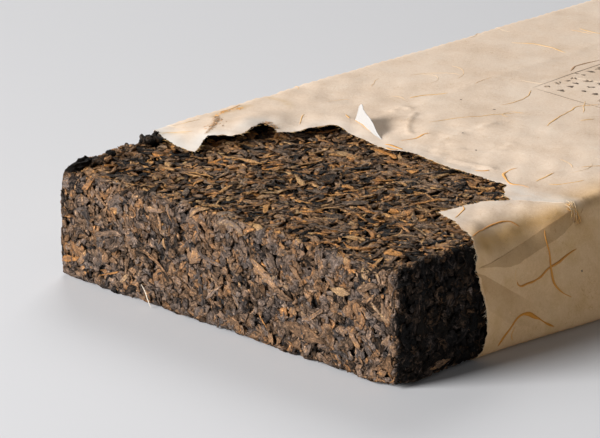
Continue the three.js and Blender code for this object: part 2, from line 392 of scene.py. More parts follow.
def is_covered(point):
    """Whether each point of the block's skin lies well behind the paper's tear."""
    sideways = np.where(point[:, 0] < 0, -1.0, 1.0)
    on_side = np.abs(point[:, 0]) > HALF_WIDTH - 0.01
    around = np.where(on_side, sideways * (SIDE_START - point[:, 2]), point[:, 0])
    place = np.stack([around, point[:, 1]], -1)
    behind = np.array(TEAR + [(SHEET_EDGE, LENGTH), (-SHEET_EDGE, LENGTH)])
    near = bent_line(place, TEAR, HIDDEN) > math.exp(-1)
    return is_within(place, behind) & ~near & (point[:, 1] > 0)


def places(spacing):
    """Jittered places over the bare faces: points and ways out."""
    found = []
    for face, (_, start, size, _, _) in FACES.items():
        counts = [max(1, round(extent / spacing)) for extent in size]
        grid = np.indices(counts).reshape(2, -1).T
        found.append(on_face(face, (grid + random.uniform(0.02, 0.98, grid.shape)) / counts * size + start))
    point = np.concatenate(found)
    point = point[~is_covered(point)]
    distance, out = outside(point)
    return point - out * distance[:, None], out


def lie(out, tilt):
    """A direction for each leaf, along its face and tilted a little out of it."""
    direction = random.normal(size=out.shape)
    direction -= out * (direction * out).sum(-1, keepdims=True)
    return unit(unit(direction) + out * random.normal(size=(len(out), 1)) * tilt)


def strips(point, out, direction, length, width, thick, rings, around, twist, fold, bend=0.25, curl=0.0,
           taper=3.0, rough=0.05):
    """Folded closed strips. Gives points (leaf, ring, around, 3), and each point's place on its leaf."""
    count = len(point)

    def column(values):
        return np.broadcast_to(values, (count,))[:, None, None]

    def each(scale):
        return column(random.normal(size=count) * scale)

    half, wide, high = column(length) / 2, column(width) / 2, column(thick) / 2
    run = np.linspace(-1, 1, rings)[:, None]
    angle = ring_angles(around)
    ends = (1 - np.abs(run) ** (taper * np.exp(each(0.3)))) * 0.9 + 0.1
    shape = 1 + 0.22 * np.sin(run * 3.1 * np.exp(each(0.3)) + each(3.0))
    shape = shape + 0.1 * random.normal(size=(count, rings, 1))
    ripple = np.cos(angle) * 2.6 * np.exp(each(0.3)) + each(3.0) + run * each(1.2)
    folds = (0.5 * fold * np.cos(ripple) + column(curl) * (np.cos(angle) ** 2 - 0.5)) * ends
    upward = folds + rough * random.normal(size=(count, rings, around))
    upward = high * np.sqrt(ends) * np.sin(angle) + wide * upward
    sideways = ends * shape * np.cos(angle) + 0.6 * rough * random.normal(size=(count, rings, around))
    sideways = wide * sideways
    turn = each(twist) * run + each(0.5)
    side = sideways * np.cos(turn) - upward * np.sin(turn)
    up = sideways * np.sin(turn) + upward * np.cos(turn)
    side = side + half * (each(bend) * (run ** 2 - 0.33) + each(bend * 0.4) * run ** 3)
    up = up + half * each(0.12) * (run ** 2 - 0.33)
    forward = half * run + 0 * side
    axes = np.stack([direction, unit(np.cross(out, direction)), out], 1)
    spot = point[:, None, None] + np.stack([forward, side, up], -1) @ axes[:, None]
    number = column(np.arange(count) * LEAF_STEP)
    return spot, np.stack(np.broadcast_arrays(forward, angle * wide, number), -1)


def strip_faces(count, rings, around):
    """The quads along each strip, and a cap at each end."""
    number = np.arange(rings * around).reshape(rings, around)
    beside = np.roll(number, -1, axis=1)
    quads = np.stack([number[:-1], number[1:], beside[1:], beside[:-1]], -1).reshape(-1, 4)
    caps = np.stack([number[0], number[-1, ::-1]])
    base = (np.arange(count) * rings * around)[:, None, None]
    return [(quads + base).reshape(-1, 4), (caps + base).reshape(-1, around)]


MIDDLE_TONE = 0.42  # on the top the leaves' tones lie twice as far from this
TOP_PAINTED_LIGHT = 0.14  # painted light: how much lighter in tone the top's leaves are
RIGHT_SIDE_PAINTED_SHADE = 0.44  # painted shade: how much darker those of the right side are
EDGE_PAINTED_HIGHLIGHT = 0.1  # painted highlight: leaf edges are lighter
CRACK_PAINTED_SHADE = 0.25  # painted shade: cracks between leaves are darker


def leaf_piece(name, spot, space, tone, material, softness, level, crinkle, crush=1.0):
    """Presses leaves onto the block and joins them in one mesh.

    level is how far each pressed leaf lies from the surface, crinkle the depth of the ridges along it, and
    crush the share of the pressing.
    """
    count, rings, around = spot.shape[:3]
    pressed, out, height, pressed_height = press(spot, softness)
    stretched, seed = space * np.array([0.35, 1.0, 1.0]), 900 + count % 97
    ridges = 0.65 * waves(stretched, 1.7, seed) + 0.5 * waves(stretched, 0.95, seed + 1)
    rise = random.uniform(*level, (count, 1, 1)) + crinkle * ridges
    spot = spot + (pressed - spot) * crush + out * rise[..., None]
    spot[..., 2] = np.maximum(spot[..., 2], 0.02)
    height = height + (pressed_height - height) * crush + rise
    above = smooth(out[..., 2], 0.5, 0.9)
    tone = tone[:, None, None]
    # Painted highlight lightens each leaf's long edges.
    # Painted light lifts the top's leaves.
    tone = tone + above * (tone - MIDDLE_TONE + TOP_PAINTED_LIGHT) + EDGE_PAINTED_HIGHLIGHT * np.cos(ring_angles(around)) ** 4
    # Painted shade darkens what lies below the pressed surface, more so on top.
    tone = tone - CRACK_PAINTED_SHADE * (1 + 0.5 * above) * smooth(-height, 0.4, 1.7)
    # Painted shade darkens the right side's leaves.
    tone = tone - RIGHT_SIDE_PAINTED_SHADE * smooth(out[..., 0], 0.55, 0.9)
    made = add_mesh(name, spot.reshape(-1, 3), strip_faces(count, rings, around), material, {
        "tone": tone.ravel(), "on_top": above.ravel(), "leaf_space": space.reshape(-1, 3)})


def tones(count, low, high, golden=None, black=0.0):
    """A tone for each leaf, of which a share may be golden and a share nearly black."""
    tone = random.uniform(low, high, count)
    if golden is None:
        return tone
    chance = random.uniform(size=count)
    tone = np.where(chance < golden, random.uniform(0.62, 0.88, count), tone)
    return np.where(chance > 1 - black, random.uniform(0.02, 0.18, count), tone)


LAYERS = [  # kept is the share of places used on top and in front, pressing is softness, level and crinkle
    # Broken flakes fill the lower layer.
    dict(name="broken_leaves", spacing=3.5, sunk=(-1.5, -0.7), tilt=0.3, length=(3.5, 7), width=(2.6, 4.4),
         thick=(0.5, 1), tone=(0.14, 0.44, 0.04), pressing=(0.45, (-0.95, -0.35), 0.13), rings=5, around=7,
         twist=0.35, fold=0.5),
    # Crumpled lumps, end on and pressed together.
    dict(name="crumpled_leaves", spacing=2.35, kept=(0.14, 1), sunk=(-0.6, 0.1), tilt=0.4,
         length=(2.2, 4.4), width=(2, 3.6), thick=(1.4, 2.5), tone=(0.2, 0.64, 0.01, 0.07),
         pressing=(0.15, (-0.2, 0.14), 0.38), rings=6, around=8, twist=0.5, fold=0.5, bend=0.5, taper=4.5,
         rough=0.25),
    # Flat leaves pressed in among the lumps.
    dict(name="flat_leaves", spacing=6.5, kept=(0.1, 0.6), tilt=0.12, length=(5, 9.5), width=(3, 5.5),
         thick=(0.5, 0.9), tone=(0.24, 0.56, 0.02, 0.16), pressing=(0.35, (0, 0.25), 0.22), rings=11,
         around=12, twist=0.15, fold=0.25, curl=0.3, bend=0.4, rough=0.06),
    # Rolled leaves whose ends show between the lumps.
    dict(name="rolled_leaves", spacing=3.4, kept=(0.5, 0.5), sunk=(-0.9, 0.2), tilt=0.35,
         length=(2.6, 5.2), width=(1.1, 2.1), thick=(0.9, 1.6), tone=(0.28, 0.6, 0.06, 0.04),
         pressing=(0.5, (-0.35, 0.28), 0.28), rings=8, around=8, twist=0.9, fold=0.5, bend=0.6, taper=2.6,
         rough=0.13),
    dict(name="twisted_leaves", spacing=3.6, kept=(1, 0.25), sunk=(-1, 0.2), tilt=0.2, length=(5, 12),
         width=(1.2, 2.5), slim=0.25, thick=(0.8, 1.6), tone=(0.26, 0.56, 0.07, 0.2),
         pressing=(0.6, (-0.5, 0.45), 0.22), rings=9, around=8, twist=1.1, fold=0.4, bend=0.35, rough=0.1),
    dict(name="folded_leaves", spacing=4.6, kept=(1, 0.35), sunk=(-0.9, 0.2), tilt=0.2, length=(4, 8.5),
         width=(1.8, 3.6), thick=(0.35, 0.7), tone=(0.26, 0.56, 0.07, 0.1),
         pressing=(0.6, (-0.5, 0.35), 0.24), rings=9, around=11, twist=0.4, fold=0.7, curl=0.5, bend=0.35,
         taper=2.2, rough=0.07),
    dict(name="leaf_crumbs", spacing=2.8, sunk=(-1, 0.2), tilt=0.5, length=(1, 3), width=(0.6, 1.4),
         thick=(0.4, 1), tone=(0.25, 0.66, 0.14), pressing=(0.6, (-0.6, 0.45), 0.1), rings=4, around=6,
         twist=0.6, fold=0.3),
    dict(name="stalks", spacing=14, sunk=(-0.5, 0.2), tilt=0.08, length=(4, 12), width=(0.6, 1.3),
         thick=(0.5, 0.9), tone=(0.58, 0.86), pressing=(0.5, (-0.2, 0.3), 0.08), rings=9, around=7,
         twist=0.5, fold=0.15),
]


def build_layer(material, name, spacing, tilt, length, width, thick, tone, pressing, kept=None, sunk=None,
                slim=0.0, curl=0.0, **shape):
    """One kind of leaf over the bare faces. slim is how much narrower it is on top."""
    point, out = places(spacing)
    if kept:
        on_top, in_front = kept
        keep = random.uniform(size=len(point)) < np.where(out[:, 2] < 0.7, in_front, on_top)
        point, out = point[keep], out[keep]
    count = len(point)
    if sunk:
        point = point + out * random.uniform(*sunk, (count, 1))
    direction = lie(out, tilt)
    length, width, thick = (random.uniform(*span, count) for span in (length, width, thick))
    width = width * (1 - slim * smooth(out[:, 2], 0.5, 0.9))
    if curl:
        curl = random.normal(size=count) * curl
    spot, space = strips(point, out, direction, length, width, thick, curl=curl, **shape)
    leaf_piece(name, spot, space, tones(count, *tone), material, *pressing)


NAMED_LEAVES = {  # by face: across or along and up or along of both ends, width, tone
    "front": [
        (13.5, 25.5, 25.5, 18, 2.4, 0.76), (-34.5, 18.5, -20, 12, 1.2, 0.55), (60, 24, 66.5, 20, 1.2, 0.88),
        (45, 24.5, 51.5, 25, 2.4, 0.95), (-68, 6, -60.5, 7.5, 1.9, 0.8), (-59.5, 6.5, -57, 11, 1.9, 0.78),
        (0, 34.5, 10, 33.5, 2.5, 0.74), (-23, 23, -22, 20, 1.1, 0.9), (-30, 31, -23, 31.5, 1.6, 0.72),
        (-25, 30.5, -24, 24.5, 1.1, 0.78), (-11.5, 33, -6, 38, 1.6, 0.8),
        (-61.5, 27.5, -59.5, 19.5, 1.2, 0.35), (8.5, 31.5, 14, 35.5, 1.2, 0.7),
        (-5.5, 8.5, 1, 14.5, 1.2, 0.6), (-53, 17, -41.5, 20.5, 1.6, 0.45), (18, 20, 24, 23, 1.2, 0.72),
        (35, 12.5, 41.5, 17.5, 1.6, 0.6), (-42, 4.5, -38.5, 8, 1.2, 0.82), (-51, 4.5, -43, 7.5, 0.9, 0.85),
        (57, 34.5, 62, 30.5, 1.3, 0.82), (-58, 30.5, -54, 34, 1.8, 0.66), (-53.5, 31.5, -47.5, 27, 1.5, 0.6),
        (53.5, 5, 55.5, 7, 1, 0.56), (55.5, 7, 57, 5, 1, 0.5), (57, 5, 55, 3.5, 1, 0.54),
        (-8, 22, 2, 20.5, 1.5, 0.46), (29.5, 27.5, 34, 23.5, 3, 0.62), (21, 19, 29, 17, 3.4, 0.4),
        (28, 9.5, 41.5, 8, 4.6, 0.42), (52.5, 13, 55.5, 10, 2.6, 0.72), (48.5, 35, 50, 33.5, 2.4, 0.98),
    ],
    "top": [
        (53.5, 0.5, 59.5, 1, 1.2, 0.9), (59.5, 1.5, 58, 7, 1.2, 0.86), (56, 10.5, 61.5, 11, 3, 0.96),
        (-35, 23, -26.5, 24.5, 1.2, 0.84), (-45, 20.5, -40, 21, 1.7, 0.8), (-14, 15, -16.5, 22, 1.9, 0.8),
        (-15.5, 68, -7, 67.5, 3.3, 0.66), (-9, 78.5, 1, 76.5, 2.1, 0.74), (10.5, 56, 14, 60.5, 2.1, 0.82),
        (12, 69.5, 14.5, 70.5, 2.5, 0.72), (8.5, 44.5, 11.5, 45, 2.1, 0.78),
        (19, 40.5, 20.5, 45.5, 1.5, 0.84), (-5, 24, -1.5, 30, 1.7, 0.7), (7, 25.5, 12.5, 26.5, 1.7, 0.78),
        (-37, 42, -25, 44, 1.5, 0.66), (34.5, 45, 37, 55, 1.2, 0.62), (36, 71, 41.5, 72, 1.5, 0.85),
        (-15, 50.5, -13.5, 58.5, 1.7, 0.6),
    ],
    "right": [(14, 3, 22.5, 3.5, 2, 1.02)],
}


def build_named_leaves(material):
    """The leaves that stand out by their colour or length."""
    ends, out, rows = [], [], []
    for face, leaves in NAMED_LEAVES.items():
        across, value = FACES[face][3:]
        rows.append(np.array(leaves, float))
        ends.append(on_face(face, rows[-1][:, :4].reshape(-1, 2, 2)))
        out.append(np.tile(np.eye(3)[across] * (1 if value > 0 else -1), (len(leaves), 1)))
    ends, out = np.concatenate(ends), np.concatenate(out)
    width, tone = np.concatenate(rows)[:, 4:].T
    run = ends[:, 1] - ends[:, 0]
    length = np.linalg.norm(run, axis=1) + 0.5 * width
    spot, space = strips(ends.mean(axis=1), out, unit(run), length, width, np.clip(0.45 * width, 0.3, 1.0),
                         rings=18, around=12, twist=0.25, fold=0.35, bend=0.12, curl=0.3)
    leaf_piece("named_leaves", spot, space, tone, material, 0.5, (0.35, 0.6), 0.12)


RAISED_LEAVES = [  # centre, how widely strewn, how many, length, width, thickness by width, tones, heading
    ((-65.5, 36.8, 36.3), (1.4, 3.2, 0.35), 26, 3.8, 2.6, 0.6, (0.0, 0.24), None),
    ((-64.5, 5.4, 35.9), (0.4, 0.4, 0.2), 4, 8.6, 3.2, 0.35, (-0.2, 0.0), (0.05, 0.97, 0.17)),
    ((-63.3, 16.6, 36.5), (0.5, 0.7, 0.2), 6, 2.8, 2.0, 0.8, (-0.1, 0.05), None),
    ((-62.5, 12.0, 35.9), (1.2, 2.6, 0.2), 12, 4.2, 2.2, 0.6, (0.05, 0.35), None),
    ((-66.0, 24.0, 35.5), (1.2, 5.0, 0.2), 12, 3.4, 1.8, 0.6, (0.2, 0.45), None),
]


def build_raised_leaves(material):
    """Loose dark leaves that stand up along the left top edge."""
    point, direction, sizes, tone = [], [], [], []
    for centre, strewn, count, length, width, thickness, shades, heading in RAISED_LEAVES:
        point.append(centre + random.uniform(-1, 1, (count, 3)) * strewn)
        ahead = random.normal(size=(count, 3)) * (0.6, 1.0, 0.08)
        if heading:
            ahead = heading + random.normal(size=(count, 3)) * 0.05
        direction.append(unit(ahead))
        length = random.uniform(0.8, 1.2, count) * length
        width = random.uniform(0.75, 1.2, count) * width
        sizes.append(np.stack([length, width, thickness * width]))
        tone.append(random.uniform(*shades, count))
    point, direction, tone = (np.concatenate(v) for v in (point, direction, tone))
    out = np.tile([0.0, 0.0, 1.0], (len(point), 1))
    spot, space = strips(point, out, direction, *np.concatenate(sizes, axis=1), rings=12, around=12,
                         twist=0.3, fold=0.4, bend=0.3, rough=0.1)
    leaf_piece("raised_leaves", spot, space, tone, material, 0.5, (0.0, 0.2), 0.2, crush=0.0)


def build_leaves():
    material = leaf_material()
    for layer in LAYERS:
        build_layer(material, **layer)
    build_named_leaves(material)
    build_raised_leaves(material)


# ---- The paper ----

PAPER_OUT = 0.7  # the sheet's outer face lies this far off the brick
SHEET_THICKNESS = 0.18
PAPER_HALF = HALF_WIDTH + PAPER_OUT
PAPER_TOP = HEIGHT + PAPER_OUT
FOOT_RADIUS = 2.6
SIDE_START = 105.6  # the sheet place at floor level, from the middle of the top
FOOT_START = SIDE_START - FOOT_RADIUS
FOOT_END = FOOT_START + FOOT_RADIUS * QUARTER
SHEET_EDGE = 180.0  # the two long edges of the sheet overlap under the brick
PAPER_START = 31.0  # from here along, the brick lies on the paper
FAR_EDGE = 289.0  # from here the sheet turns onto the end face
FAR_RADIUS = 1.6
END_PLACES = 300.0  # the sheet places of the end's flaps start here

TEAR = [  # sheet places of the torn edge, from the left side over the top to the right side
    (-180, 38), (-135, 41), (-102, 44), (-97.5, 45), (-91.5, 43), (-84.5, 44.5), (-77.5, 44.5), (-54, 35),
    (-47, 34.5), (-44.5, 34.5), (-47.5, 40), (-50.5, 46), (-48, 47), (-47, 49), (-43, 49), (-42, 52),
    (-46, 64), (-45.5, 67), (-41, 66), (-38, 64), (-35, 71), (-32, 82), (-28, 82.5), (-5, 77.5), (0.5, 79),
    (2.5, 81), (23, 77.5), (33, 78), (38.5, 76), (42, 77), (45, 76.5), (46.5, 73.5), (51, 68), (54.5, 67),
    (53.5, 64), (49.5, 59), (46, 44.5), (71, 32.5), (77, 32), (87.5, 36), (94, 37.5), (102, 36.5),
    (105, 34), (135, 33), (180, 33.5),
]
TEAR_LIFT = [  # across, along, and the torn edge's height over the paper's resting top
    (-67.2, 40.9, 0.7), (-57.5, 38.6, 0.3), (-47.3, 37.3, -0.2), (-49.4, 41.5, 0.8), (-51.9, 46.6, 1.8),
    (-47.7, 49.5, 2.4), (-43.4, 50.5, 2.4), (-42.8, 54.2, 2.4), (-45.4, 66, 3.1), (-43, 67.8, 2.5),
    (-39.6, 66.4, 0.9), (-40.2, 70.4, 0.5), (-37.3, 73.7, 0.5), (-35.4, 75.9, 1.2), (-32.5, 82.1, 1.6),
    (-28.6, 82.8, 1.4), (-25.4, 82.3, 0.8), (-20.9, 81.4, 0.3), (-14.2, 79.7, 0.1), (-7.9, 78.9, 0.1),
    (-3.5, 79.4, 0.1), (0.5, 81.9, 0.1), (17.4, 80.1, 0), (31.6, 79.2, 0), (43.8, 77.8, 0), (52.7, 68.9, 0),
    (50, 60.7, 0), (45, 45.5, 0), (54.5, 43.5, 0), (61, 40.6, 0),
]


def corner_radius(side, along):
    """The paper bends softly over the right edge behind the tear, and folds crisply elsewhere."""
    fading = 1 - smooth(along, 56, 80)
    slack = 1.0 + 1.5 * fading + 9.0 * smooth(along, 33, 47) * fading - smooth(along, 70, 90)
    return 2.0 + slack * (side > 0)


def top_lift(across, along):
    """How far the sheet stands over its resting top: its slack, drawn to the torn edge's own heights."""
    slack = np.maximum(smooth(along, 78, 125), 1 - smooth(across, -40, -18))
    total, weight = 0.12 * 1.3 * slack, 0.12
    for edge_across, edge_along, height in TEAR_LIFT:
        near = np.exp(-((across - edge_across) ** 2 + (along - edge_along) ** 2) / 6.5 ** 2)
        total, weight = total + near * height, weight + near
    return total / weight


def side_flare(along, up):
    opened = smooth(along, 28, 105) * (1 - smooth(along, 170, 280))
    return 8 * opened * (1 - smooth(up, 2, HEIGHT))


def bent_line(place, points, width):
    """How near each place is to a crease, from 0 to 1, fading at its ends."""
    near = np.zeros(place.shape[:-1])
    points = np.asarray(points, float)
    for start, end in zip(points[:-1], points[1:]):
        run = end - start
        share = np.clip(((place - start) @ run) / (run @ run), 0, 1)
        away = np.linalg.norm(place - start - share[..., None] * run, axis=-1)
        near = np.maximum(near, np.exp(-(away / width) ** 2))
    return near


def strongest(place, marks):
    """The strongest mark at each place. A mark is a line of sheet places, its width and strength."""
    return np.max([strength * bent_line(place, line, width) for line, width, strength in marks], axis=0)


PLEAT_TOP = [(77, 33), (77, 38), (74.5, 51.5), (72, 64.5), (70.5, 75)]
PLEAT_FOOT = [(80, 47), (80, 51), (79, 53.5), (78, 60), (77, 67), (76, 71), (74, 75.5)]
CREASE = [(78, 31.5), (80, 36), (88, 48), (92, 54), (97.5, 60.5)]
FUZZ = [(-52, 47.5), (-55.5, 53), (-59, 58.5), (-63, 62)]
OCHRE = [(-63, 62), (-66, 68), (-65, 73), (-65, 78)]
WRINKLE = [(-21, 110), (-19, 106), (-16, 101.5), (-13, 97.5), (-9, 94)]
WRINKLES = [  # a line of sheet places, its width and height
    (WRINKLE, 1, 0.32), ([(3, 94), (3, 98), (4, 103)], 1.5, 0.24), ([(11, 85), (12, 90), (14, 93)], 1.2, 0.2),
    ([(4, 108.5), (5, 112), (5, 117.5)], 1.4, 0.26), ([(6, 86), (5.5, 90), (6.5, 93)], 1.6, -0.24),
    ([(-28, 108), (-29.5, 113), (-25.5, 112.5)], 1.2, 0.22), ([(6, 124), (7, 128)], 1.4, 0.14),
    ([(22, 96), (23, 101), (21, 107)], 1.5, 0.14), ([(-2, 99), (-1, 104), (0, 108)], 1.8, -0.2),
]
BROAD_CREASES = [  # the same
    ([(-21.5, 94.5), (-15, 91.5), (-11.5, 90.5)], 3.6, -0.35), ([(-24, 100), (-19, 97.5)], 3, -0.3),
    ([(-28, 108), (-22, 118)], 2.5, 0.35), (PLEAT_TOP, 1.4, 0.16), (CREASE, 1.5, 0.25),
    ([(84.5, 35), (93, 46), (99, 54)], 4, -0.25), (FUZZ, 1.2, 0.2),
    ([(17, 84), (22, 84), (27, 85), (32, 85.5)], 0.9, 0.5),
    ([(-27, 120), (-28, 160), (-30, 217), (-31, 280)], 1.6, 0.3),
    *(([(76, 84 + 6.2 * k), (101 - 3 * (k % 2), 81 + 6.6 * k)], 1.6, 0.16) for k in range(5)),
]


def relief(place):
    """The sheet's own waves and creases, along its normal."""
    near_tear = 1 - smooth(place[..., 1], 95, 150)
    total = 0.2 * waves(place, 46.0, 31) + (0.06 + 0.12 * near_tear) * waves(place, 15.0, 32)
    total += 0.05 * (0.4 + near_tear) * waves(place, 6.0, 33)
    for line, width, height in WRINKLES + BROAD_CREASES:
        total += height * bent_line(place, line, width)
    return total + 0.35


def wrap(place):
    """Sheet places (around, along) to points in brick millimetres, and the way out of the paper.

    A place on a side keeps its height whatever the corner's rounding.
    """
    place = np.asarray(place, float)
    around, along = place[..., 0], place[..., 1]
    side = np.where(around < 0, -1.0, 1.0)
    walk = np.abs(around)
    over = np.clip((along - FAR_EDGE) / FAR_RADIUS, 0, QUARTER)
    along = np.minimum(along, FAR_EDGE) + FAR_RADIUS * np.sin(over)
    radius = corner_radius(side, along)
    top, corner = PAPER_HALF - radius, SIDE_START - PAPER_TOP + radius  # the ends of the top and its corner
    turn = np.clip((walk - top) / (corner - top), 0, 1) * QUARTER
    tuck = np.clip((walk - FOOT_START) / FOOT_RADIUS, 0, QUARTER)
    across = np.minimum(walk, top) + radius * np.sin(turn)
    across = across - FOOT_RADIUS * (1 - np.cos(tuck)) - np.maximum(walk - FOOT_END, 0)
    up = PAPER_TOP - radius + radius * np.cos(turn) - np.clip(walk - corner, 0, FOOT_START - corner)
    up = up - FOOT_RADIUS * np.sin(tuck)
    out_across = side * np.sin(turn) * np.cos(tuck)
    out_up = np.cos(turn) - np.sin(tuck)
    across = side * across
    shrink, flat = FAR_RADIUS * (1 - np.cos(over)), np.cos(over)
    out = np.stack([out_across * flat, np.sin(over), out_up * flat], -1)
    standing = relief(place) * smooth(up, 1.0, 7.0) * flat * (1 - 0.8 * smooth(along, 270, 288))
    right = smooth(across, 0.7 * HALF_WIDTH, 0.96 * HALF_WIDTH)
    upper = smooth(up, 0.6 * HEIGHT, HEIGHT - 1)
    across = across - out_across * shrink
    up = up - out_up * shrink
    flare = right * side_flare(along, up)
    lift = upper * top_lift(across, along)
    return np.stack([across + flare, along, up + lift], -1) + out * standing[..., None], out


def ragged(points, step, roughness, seed):
    """A torn line: the given points joined, cut into short steps and roughened sideways."""
    points = np.asarray(points, float)
    line = [points[:1]]
    for start, end in zip(points[:-1], points[1:]):
        count = max(1, round(np.linalg.norm(end - start) / step))
        line.append(start + (end - start) * (np.arange(1, count + 1) / count)[:, None])
    line = np.concatenate(line)
    side = np.gradient(line, axis=0)
    side = unit(np.stack([-side[:, 1], side[:, 0]], -1))
    wobble = waves(line, 5.0, seed + 1) * 0.6 + waves(line, 1.6, seed + 2) * 0.4
    wobble += np.random.default_rng(seed).normal(size=len(line)) * 0.3
    return line + side * (roughness * wobble)[:, None]


TORN_LINE = ragged(TEAR, 0.5, 0.3, 51)


def spline(points, step=0.7):
    """A smooth line through the given places, in short steps."""
    points = np.asarray(points, float)
    if len(points) == 2:
        count = max(2, int(np.linalg.norm(points[1] - points[0]) / step))
        return points[0] + np.linspace(0, 1, count)[:, None] * (points[1] - points[0])
    ghost = np.concatenate([2 * points[:1] - points[1:2], points, 2 * points[-1:] - points[-2:-1]])
    line = []
    for p0, p1, p2, p3 in zip(ghost[:-3], ghost[1:-2], ghost[2:-1], ghost[3:]):
        t = np.linspace(0, 1, max(3, int(np.linalg.norm(p2 - p1) / step)), endpoint=False)[:, None]
        line.append(0.5 * (2 * p1 + (p2 - p0) * t + (2 * p0 - 5 * p1 + 4 * p2 - p3) * t ** 2
                           + (3 * p1 - p0 - 3 * p2 + p3) * t ** 3))
    return np.concatenate(line + [points[-1:]])


def is_within(points, outline):
    """Whether each point lies within a closed outline."""
    inside = np.zeros(len(points), bool)
    for (x0, y0), (x1, y1) in zip(outline, np.roll(outline, -1, axis=0)):
        if y0 != y1:
            between = (points[:, 1] >= min(y0, y1)) & (points[:, 1] < max(y0, y1))
            inside ^= between & (points[:, 0] < x0 + (points[:, 1] - y0) * (x1 - x0) / (y1 - y0))
    return inside


def distance_to(points, line):
    """Each point's distance to the nearest of a line's points."""
    best = np.full(len(points), 1e9)
    for start in range(0, len(line), 64):
        gaps = np.linalg.norm(points[:, None] - line[None, start:start + 64], axis=-1)
        best = np.minimum(best, gaps.min(axis=1))
    return best


def triangulate(outline, spacing, finer=()):
    """Fills a closed outline with well-shaped triangles, anticlockwise. Gives places and triangles.

    finer lists lines near which the triangles are smaller, with the spacing and reach there, finest first.
    """
    low, high = outline.min(0), outline.max(0)

    def lattice(step):
        grid = []
        for k, row in enumerate(np.arange(low[1] + step / 2, high[1], step * 0.87)):
            run = np.arange(low[0] + step * (0.5 + 0.5 * (k % 2)), high[0], step)
            grid.append(np.stack([run, np.full(len(run), row)], -1))
        return np.concatenate(grid)

    inner = lattice(spacing)
    for line, step, reach in finer[::-1]:
        inner, fine = inner[distance_to(inner, line) > reach], lattice(step)
        inner = np.concatenate([inner, fine[distance_to(fine, line) <= reach]])
    inner = inner[distance_to(inner, outline) > 0.45 * (finer[0][1] if finer else spacing)]
    points = [Vector(p) for p in np.concatenate([outline, inner]).tolist()]
    made = geometry.delaunay_2d_cdt(points, [], [list(range(len(outline)))], 1, 1e-4, False)
    place, triangles = np.array([tuple(v) for v in made[0]]), np.array(made[2])
    triangles = triangles[is_within(place[triangles].mean(axis=1), outline)]
    used, triangles = np.unique(triangles, return_inverse=True)
    return place[used], triangles.reshape(-1, 3)


def thick_sheet(points, triangles, thickness, place, torn=0.0, shade=0.0):
    """A closed skin from a sheet's outer face: inner face, rim, and what the paper's material reads."""
    corners = points[triangles]
    normal = np.zeros(points.shape)
    np.add.at(normal, triangles.T, np.cross(corners[:, 1] - corners[:, 0], corners[:, 2] - corners[:, 0]))
    inner = points - unit(normal) * np.reshape(thickness, (-1, 1))
    count = len(points)
    first, second = np.concatenate([triangles[:, [0, 1]], triangles[:, [1, 2]], triangles[:, [2, 0]]]).T
    is_rim = ~np.isin(first * count + second, second * count + first)
    first, second = first[is_rim], second[is_rim]
    rim = np.stack([second, first, first + count, second + count], -1)
    # Painted shade: the wrapper's sides take a warm darker tint, which also gates the stain spots.
    sides = np.maximum(smooth(place[:, 0], 56, 72), 0.5 * smooth(-place[:, 0], 70, 80))
    values = {
        "sheet_place": np.pad(place, ((0, 0), (0, 1))), "torn": torn + np.zeros(count),
        "shade": shade + np.zeros(count), "side_shade_and_stains": sides * (place[:, 1] < END_PLACES - 8),
        "ochre_stain_and_shade": strongest(place, OCHRE_STAIN_AND_SHADE_LINES),
    }
    return (np.concatenate([points, inner]), [triangles, triangles[:, ::-1] + count, rim],
            {key: np.concatenate([value, value]) for key, value in values.items()})


def paper_piece(name, parts, material, sharp_rim=False):
    """Joins parts in one paper mesh. Each is its points, its faces, and a dict of values for its points."""
    faces, count = [], 0
    for points, blocks, _ in parts:
        faces += [block + count for block in blocks]
        count += len(points)
    points = np.concatenate([part[0] for part in parts])
    attributes = {key: np.concatenate([part[2][key] for part in parts]) for key in parts[0][2]}
    made = add_mesh(name, points, faces, material, attributes, sharp_rim)
    return made


SHADE_AND_STAIN_LINES = [  # a line of sheet places, its width and darkness
    # painted shade over the right side's bend: the first line here; the small spots are stains
    ([(68.5, 60), (69.5, 65), (70, 71)], 1.6, 0.4), ([(69.8, 49.5), (69.8, 50.1)], 0.9, 0.7),
    ([(68.8, 54.5), (68.9, 55)], 1.1, 0.7), ([(71.5, 38.5), (71.5, 39.5)], 1.3, 0.35),
    ([(73, 77), (74.5, 79)], 1.6, 0.7), (FUZZ, 0.9, 0.9), ([(-58, 58), (-54, 62)], 2.6, 0.3),
    (OCHRE, 0.9, 0.4), ([(-45.5, 65.5), (-44.5, 67.5), (-40.5, 66.5)], 1, 0.8),
    # painted shade along the wrinkle beside the scrap and along the broad rounding of the right top edge: the
    # last two here
    ([(70.6, 80), (70.8, 96)], 1.2, 0.5), (WRINKLE, 0.8, 0.35), ([(66, 84), (67, 110), (67, 150)], 6, 0.25),
]
OCHRE_STAIN_AND_SHADE_LINES = [  # a line of sheet places, its width and strength
    # the first two lines are partly painted shade of the soft bend, partly olive stain
    ([(69.5, 38), (69.5, 47), (69.5, 55)], 3.4, 0.85), ([(68, 58), (69.5, 66), (70, 71)], 2.4, 0.75),
    (OCHRE, 1, 0.9), ([(-66, 40), (-63, 43), (-59, 45)], 0.7, 0.6),
    ([(-67, 90), (-61, 91), (-54, 87)], 1, 0.55), ([(69.5, 75.5), (71, 78), (73.5, 77.5)], 1.5, 0.7),
]
PALE_BAND = [(49, 75), (55, 72.6), (61.5, 75.6), (67.5, 77.6)]
TORN_RIMS = [  # how pale the paper is along the tear, how far in, and where that ends across the sheet
    (0.12, 0.4, 200, 201), (0.8, 5, -50, -38), (0.3, 4, 52, 62),
]


